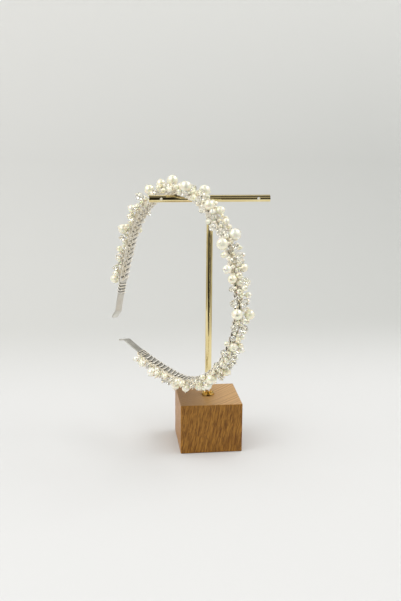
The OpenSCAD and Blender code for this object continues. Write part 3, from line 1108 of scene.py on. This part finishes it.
    def run_strands(self, draft: Draft) -> None:
        """Lays strands along the outer face, where the stems' ends run on under the next turns.

        Args:
            draft: the draft that takes the wire.
        """
        line, chance = self.plan.line, random.Random(11)
        for number in range(self.strands):
            base = (number / (self.strands - 1) - 0.5) * self.strand_spread
            waves = [[chance.uniform(*span) for span in self.strand_waves] for _ in range(3)]
            path = []
            for station in np.arange(*self.strand_run):
                sway = self.strand_sway * sum(size * math.sin(rate * station + phase) for rate, phase, size in waves)
                lift = self.strand_ride[0] + self.strand_ride[1] * math.sin(0.23 * station + number * 1.7)
                path.append(line.place(station, base + sway, lift))
            across = np.tile(np.array([0.0, 0.0, 1.0]), (len(path), 1))
            draft.tube(line.world(np.array(path)), line.turned(across), self.stem_r[1] * MM, 5)

    @staticmethod
    def between(pair: Span, share: float) -> float:
        """The value a share of the way from the first of a pair to the second."""
        return pair[0] + (pair[1] - pair[0]) * share

    def foot(self, bead: Bead, on_arm: float, heel: float) -> np.ndarray:
        """Finds where a stem leaves the strip: near its middle on the crown, and at its edge on an arm.

        Args:
            bead: the bead that the stem carries.
            on_arm: 0 on the crown and 1 on an arm.
            heel: the station of the foot.
        Returns:
            The point, in the band's own frame.
        """
        root = self.plan.root(heel, bead.side)
        side = self.edge_side if bead.side > self.back_side else -self.edge_side
        return root + (self.plan.line.place(heel, side, self.edge_lift) - root) * on_arm

    def spine(self, bead: Bead, on_arm: float, heel: float, wraps: bool) -> tuple[np.ndarray, int]:
        """Finds a stem's middle line: its tail, its rise from the strip and its way through the bead.

        Args:
            bead: the bead that it carries.
            on_arm: 0 on the crown and 1 on an arm.
            heel: the station of its foot.
            wraps: whether it has a tail.
        Returns:
            The line's points, and how many of the last ones lie in the bead.
        """
        line, axis, root = self.plan.line, bead.axis, self.foot(bead, on_arm, heel)
        entry, top = bead.centre - axis * bead.radius, bead.centre + axis * (bead.radius + self.past_bead)
        reach = float(np.linalg.norm(entry - root))
        up = line.place(bead.station, 0.0, 1.0) - line.place(bead.station, 0.0, 0.0)
        pull, push = root + (up + axis) * self.straight[0] * reach, entry - axis * self.straight[1] * reach
        t = np.linspace(0.0, 1.0, max(6, int(reach * 1.1 / self.stem_step)))[:, None]
        rise = root * (1 - t) ** 3 + 3 * pull * t * (1 - t) ** 2 + 3 * push * t ** 2 * (1 - t) + entry * t ** 3
        steps = max(2, int(np.linalg.norm(top - entry) / self.stem_step))
        through = entry + (top - entry) * np.linspace(0, 1, steps + 1)[1:, None]
        tail = [line.place(heel + on, aside, lift) for on, aside, lift in self.tail]
        return np.concatenate([self.resample(tail + [root]) if wraps else np.empty((0, 3)), rise, through]), steps

    def stem(self, draft: Draft, bead: Bead, chance: random.Random, strands: int) -> None:
        """Twists one stem: up from the strip, through the bead and over its top.

        Args:
            draft: the draft that takes the wire.
            bead: the bead that it carries.
            chance: the seeded random numbers.
            strands: 2 for a twisted stem, 1 for a single wire.
        """
        start, full = self.arm_from
        on_arm = min(1.0, max(0.0, (abs(bead.station) - start) / (full - start)))
        radius = self.between(self.stem_r, on_arm)
        lean = math.copysign(self.between(self.stem_lean, on_arm), bead.station)
        heel = bead.station + lean * chance.uniform(*self.lean_play)
        berth = round(heel / self.tail_step)
        wraps = (
            bead.station > self.tailed[0] and heel < self.tailed[1] and bead.side > self.back_side
            and berth not in self.berths)
        if wraps:
            # Tails lie side by side in even berths, as far as there are free ones
            self.berths.add(berth)
            heel = berth * self.tail_step
        heel = min(self.feet[1], max(self.feet[0], heel))
        spine, inside = self.spine(bead, on_arm, heel, wraps)
        along = lengths(spine)
        side = carried(spine, np.array(self.first_side))
        other = np.cross(unit(np.gradient(spine, axis=0)), side)
        angle = chance.uniform(0, 2 * math.pi) + along * 2 * math.pi / self.between(self.twist_pitch, on_arm)
        pinched = np.clip((along - along[-inside - 1]) / self.stem_step, 0.0, 1.0)
        swing = radius * self.swing * (strands - 1) * (1 - self.pinch * pinched)[:, None]
        rows = [
            spine + swing * (np.cos(angle + half)[:, None] * side + np.sin(angle + half)[:, None] * other)
            for half in (0.0, math.pi)[:strands]]
        path = rows[0]
        if strands == 2:
            arch = (rows[0][-1] + rows[1][-1]) / 2 + bead.axis * radius
            path = np.concatenate([rows[0], [arch], rows[1][::-1]])
        across = carried(path, side[0] + 0.17 * other[0])
        draft.tube(self.plan.line.world(path), self.plan.line.turned(across), radius * MM, 5)

    def resample(self, bends: list[np.ndarray]) -> np.ndarray:
        """Walks a bent line in even steps.

        Args:
            bends: its corners, in the band's own frame.
        Returns:
            The points from the first corner up to, but without, the last.
        """
        corners = np.array(bends)
        along = lengths(corners)
        steps = np.arange(0.0, along[-1] - 0.6 * self.stem_step, self.stem_step)
        return np.stack([np.interp(steps, along, corners[:, i]) for i in range(3)], axis=1)

    def build(self) -> None:
        """Winds the strip, lays the strands and twists the stems."""
        silver, champagne = self.silver.material(), self.champagne.material()
        wound, laid, stems, seed_stems = Draft(), Draft(), Draft(), Draft()
        for winding in self.windings:
            self.wind(wound, winding)
        self.run_strands(laid)
        chance = random.Random(20)
        for bead in self.plan.pearls + self.plan.crystals:
            self.stem(stems, bead, chance, 2)
        for bead in self.plan.seeds:
            self.stem(seed_stems, bead, chance, 2 if abs(bead.station) > self.arm_from[0] else 1)
        for draft, name, finish in (
                (wound, "wound_wire", silver), (laid, "laid_strands", champagne),
                (stems, "twisted_stems", champagne), (seed_stems, "seed_stems", champagne)):
            piece = draft.build(name, finish)
            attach(piece, "root")
            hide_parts("wire_binding")
            LOG.info("made %s with %d faces", name, len(piece.data.polygons))


# ---- The studio


@dataclass
class Studio:
    """Pale paper sweep, soft light, dark cards for the metal to mirror, and the camera."""

    paper_colour: str = "#D5D5D4"
    # Painted light: the wall lit on the left, shaded on the right and lit higher up, and the paper shaded far off
    lit_wall_colour: str = "#CDCDCA"
    shaded_wall_colour: str = "#BCBDBA"
    lit_high_colour: str = "#EFEFEC"
    far_shade_colour: str = "#B9B9B8"
    sweep_start: float = 0.30
    sweep_r: float = 0.6
    wall_top: float = 1.8
    half_width: float = 6.0
    front: float = -8.0
    # How far over the paper a card lies, and one that lies under another
    card_z: float = 0.0006
    low_card_z: float = 0.0003
    # What the sparks and the lamps face
    beads_at: Spot = (-0.02, 0.0, 0.12)
    band_at: Spot = (0.0, 0.0, 0.09)
    eye: Spot = (-0.07045, -0.52346, 0.22932)
    right: Spot = (0.99264, -0.12090, 0.00763)
    up: Spot = (0.02106, 0.23432, 0.97193)
    forward: Spot = (0.11929, 0.96461, -0.23514)
    lens: float = 48.1

    def paper(self) -> Material:
        """Matt paper, painted darker from the table to the wall as under a light from above, lighter to the left and
        higher up where more light falls, and darker far off where the light falls away.

        Returns:
            The material.
        """
        made = blank_material("matt_paper")
        tree = made.node_tree
        place = add_node(tree, "TexCoord").outputs["Object"]
        parts = add_node(tree, "SeparateXYZ", {0: place}).outputs
        # Painted light: the wall lighter to the left and higher up, darker to the right
        wall = blended(tree, parts["X"], (-0.35, 0.35), self.lit_wall_colour, self.shaded_wall_colour)
        lit_high = blended(tree, parts["Z"], (0.15, 0.7), wall, self.lit_high_colour)
        near = blended(tree, parts["Y"], (0.06, 0.34), self.paper_colour, lit_high, interpolation_type="SMOOTHSTEP")
        # Far from the table the paper is painted darker, as the light falls away into the room
        distance = add_node(tree, "VectorMath", {0: place}, operation="LENGTH")
        return shaded(made, {
            "Roughness": 0.9, "Specular IOR Level": 0.15,
            "Base Color": blended(tree, distance, (1.6, 4.5), near, self.far_shade_colour)})

    def sweep(self) -> None:
        """Lays the paper: flat on the table, then curved up to a wall."""
        steps = 24
        profile = [(self.front, 0.0), (self.sweep_start, 0.0)]
        for i in range(1, steps + 1):
            a = math.radians(90 * i / steps)
            profile.append((self.sweep_start + self.sweep_r * math.sin(a), self.sweep_r * (1 - math.cos(a))))
        profile.append((self.sweep_start + self.sweep_r, self.wall_top))
        points = np.array([(x, y, z) for y, z in profile for x in (-self.half_width, self.half_width)])
        draft = Draft()
        draft.add(points, [(2 * i, 2 * i + 1, 2 * i + 3, 2 * i + 2) for i in range(len(profile) - 1)])
        draft.build("paper_sweep", self.paper())

    def card(
            self, name: str, points: list[Spot], across: int, light: float,
            seen: CardSeen = CardSeen.MIRRORED) -> None:
        """Sets up a card that only polished things show.

        Args:
            name: the card's name.
            points: its corners, row after row.
            across: the number of corners in a row.
            light: how bright it is.
            seen: whether metal and lacquer mirror it, glass shows it, or both.
        """
        made = blank_material(name)
        glow = add_node(made.node_tree, "Emission", {"Color": (1.0, 0.96, 0.9, 1.0), "Strength": light})
        add_node(made.node_tree, "OutputMaterial", {"Surface": glow})
        rows = len(points) // across
        draft = Draft()
        draft.add(np.array(points), [
            (i * across + j, i * across + j + 1, (i + 1) * across + j + 1, (i + 1) * across + j)
            for i in range(rows - 1) for j in range(across - 1)])
        piece = draft.build(name, made)
        piece.visible_camera = False
        piece.visible_diffuse = False
        piece.visible_glossy = seen is not CardSeen.IN_GLASS
        piece.visible_transmission = seen is not CardSeen.MIRRORED
        piece.visible_shadow = False

    def spark(self, name: str, place: Spot, size: float, light: float) -> None:
        """Hangs a small bright card that only the crystals catch.

        Args:
            name: the card's name.
            place: where its middle is.
            size: the length of its side.
            light: how bright it is.
        """
        turn = (Vector(self.beads_at) - Vector(place)).to_track_quat("Z", "Y").to_matrix()
        corners = [Vector((x, y, 0)) * size / 2 for x in (-1, 1) for y in (-1, 1)]
        self.card(name, [tuple(Vector(place) + turn @ corner) for corner in corners], 2, light, CardSeen.IN_GLASS)

    def screen(
            self, name: str, from_deg: float, to_deg: float, top: float, r: float, light: float,
            seen: CardSeen = CardSeen.MIRRORED) -> None:
        """Bends a standing card round the front of the set.

        Args:
            name: the card's name.
            from_deg: where it starts, in degrees from -Y, plus towards +X.
            to_deg: where it ends.
            top: the height of its upper edge.
            r: its distance from the post.
            light: how bright it is.
            seen: what shows it.
        """
        turns = np.radians(np.linspace(from_deg, to_deg, 9))
        points = [(r * math.sin(a), -r * math.cos(a), z) for z in (0.0, top) for a in turns]
        self.card(name, points, len(turns), light, seen)

    def lamp(self, name: str, place: Spot, size: float, watts: float) -> None:
        """Hangs a square soft light that faces the headband.

        Args:
            name: the light's name.
            place: where it hangs.
            size: the length of its side.
            watts: its power.
        """
        data = bpy.data.lights.new(name, "AREA")
        data.shape, data.size, data.energy = "SQUARE", size, watts
        made = bpy.data.objects.new(name, data)
        made.location = place
        made.rotation_mode = "QUATERNION"
        made.rotation_quaternion = (Vector(self.band_at) - Vector(place)).to_track_quat("-Z", "Y")
        bpy.context.scene.collection.objects.link(made)

    def room(self) -> None:
        """Lights the room softly from all sides, a little more from above."""
        world = bpy.data.worlds.new("soft_room")
        bpy.context.scene.world = world
        world.use_nodes = True
        tree = world.node_tree
        tree.nodes.clear()
        way = add_node(tree, "TexCoord").outputs["Generated"]
        height = add_node(tree, "SeparateXYZ", {0: way}).outputs["Z"]
        glow = add_node(tree, "MapRange", {0: height, 1: 0.05, 2: 1.0, 3: 0.62, 4: 1.42})
        back = add_node(tree, "Background", {"Color": (1.0, 0.995, 0.985, 1.0), "Strength": glow})
        add_node(tree, "OutputWorld", {"Surface": back})

    def camera(self) -> None:
        """Sets the camera where the photograph was taken from."""
        data = bpy.data.cameras.new("camera")
        data.sensor_width, data.lens = 36.0, self.lens
        data.clip_start, data.clip_end = 0.01, 20.0
        made = bpy.data.objects.new("camera", data)
        turn = Matrix((self.right, self.up, [-part for part in self.forward])).transposed().to_4x4()
        made.matrix_world = Matrix.Translation(self.eye) @ turn
        bpy.context.scene.collection.objects.link(made)
        bpy.context.scene.camera = made

    def build(self) -> None:
        """Sets up the whole studio."""
        self.sweep()
        top, low, mirrored = self.card_z, self.low_card_z, CardSeen.MIRRORED
        for name, corners, height, light, seen in (
                ("dark_table", ((-0.27, -0.26), (0.12, -0.26), (-1.9, -1.5), (0.36, -1.5)), top, 0.01, CardSeen.BOTH),
                ("dim_table", ((0.12, -0.31), (1.2, -0.31), (0.36, -1.5), (1.2, -1.5)), top, 0.13, mirrored),
                ("left_table", ((-0.37, 0.5), (-0.37, -1.5), (-1.6, 0.5), (-1.6, -1.5)), low, 0.45, mirrored),
                ("right_table", ((0.27, 0.5), (0.27, -1.5), (1.6, 0.5), (1.6, -1.5)), low, 0.5, mirrored)):
            self.card(name, [(x, y, height) for x, y in corners], 2, light, seen)
        self.screen("dark_screen", -30.0, 5.0, 0.7, 0.75, 0.01, CardSeen.BOTH)
        self.screen("dim_side", 5.0, 38.0, 0.55, 0.85, 0.08)
        self.card("dim_ceiling", [
            (-0.25, -0.75, 0.65), (0.45, -0.75, 0.65), (-0.25, -0.5, 1.0), (0.45, -0.5, 1.0),
            (-0.25, 0.0, 1.15), (0.45, 0.0, 1.15), (-0.25, 0.3, 1.05), (0.45, 0.3, 1.05)], 2, 0.12)
        self.screen("left_front", -78.0, -47.0, 0.6, 0.95, 0.66)
        self.screen("left_side", -128.0, -78.0, 0.6, 0.95, 0.62)
        self.screen("right_side", 38.0, 128.0, 0.6, 0.95, 0.62)
        self.card("dim_back", [
            (-0.2, 0.86, 0.12), (0.6, 0.86, 0.12), (-0.2, 0.86, 0.95), (0.6, 0.86, 0.95)], 2, 0.25)
        for name, place, size, light in (
                ("above", (-0.1, 0.1, 0.95), 0.32, 15.0), ("left", (-0.7, -0.5, 0.45), 0.24, 15.0),
                ("behind", (-0.45, 0.6, 0.6), 0.26, 12.0), ("right", (0.65, 0.35, 0.5), 0.26, 14.0),
                ("high", (-0.45, -0.35, 0.85), 0.22, 16.0), ("front", (0.3, -0.55, 0.5), 0.16, 16.0),
                ("back", (0.15, 0.7, 0.35), 0.14, 14.0), ("low", (0.35, -0.6, 0.12), 0.18, 13.0)):
            self.spark(f"spark_{name}", place, size, light)
        self.lamp("left_window", (-0.85, -0.3, 0.7), 0.55, 2.4)
        self.lamp("right_window", (0.75, 0.05, 1.1), 0.55, 3.4)
        self.room()
        self.camera()
        bpy.context.scene.view_settings.view_transform = "Standard"
        LOG.info("set up the studio")


def main() -> None:
    """Builds the looks in order: stand, strip, pearls, crystals, wire and studio."""
    logging.basicConfig(level=logging.INFO, format="%(name)s: %(message)s")
    line = HeadbandLine()
    plan = BeadPlan(line)
    plan.read()
    LOG.info("read %d pearls and %d crystals", len(plan.pearls), len(plan.crystals))
    Stand().dress()
    Strip(line).dress()
    Pearls().dress()
    Crystals(plan).build()
    SeedPearls(plan).build()
    WireWork(plan).build()
    Studio().build()


if __name__ == "__main__":
    main()
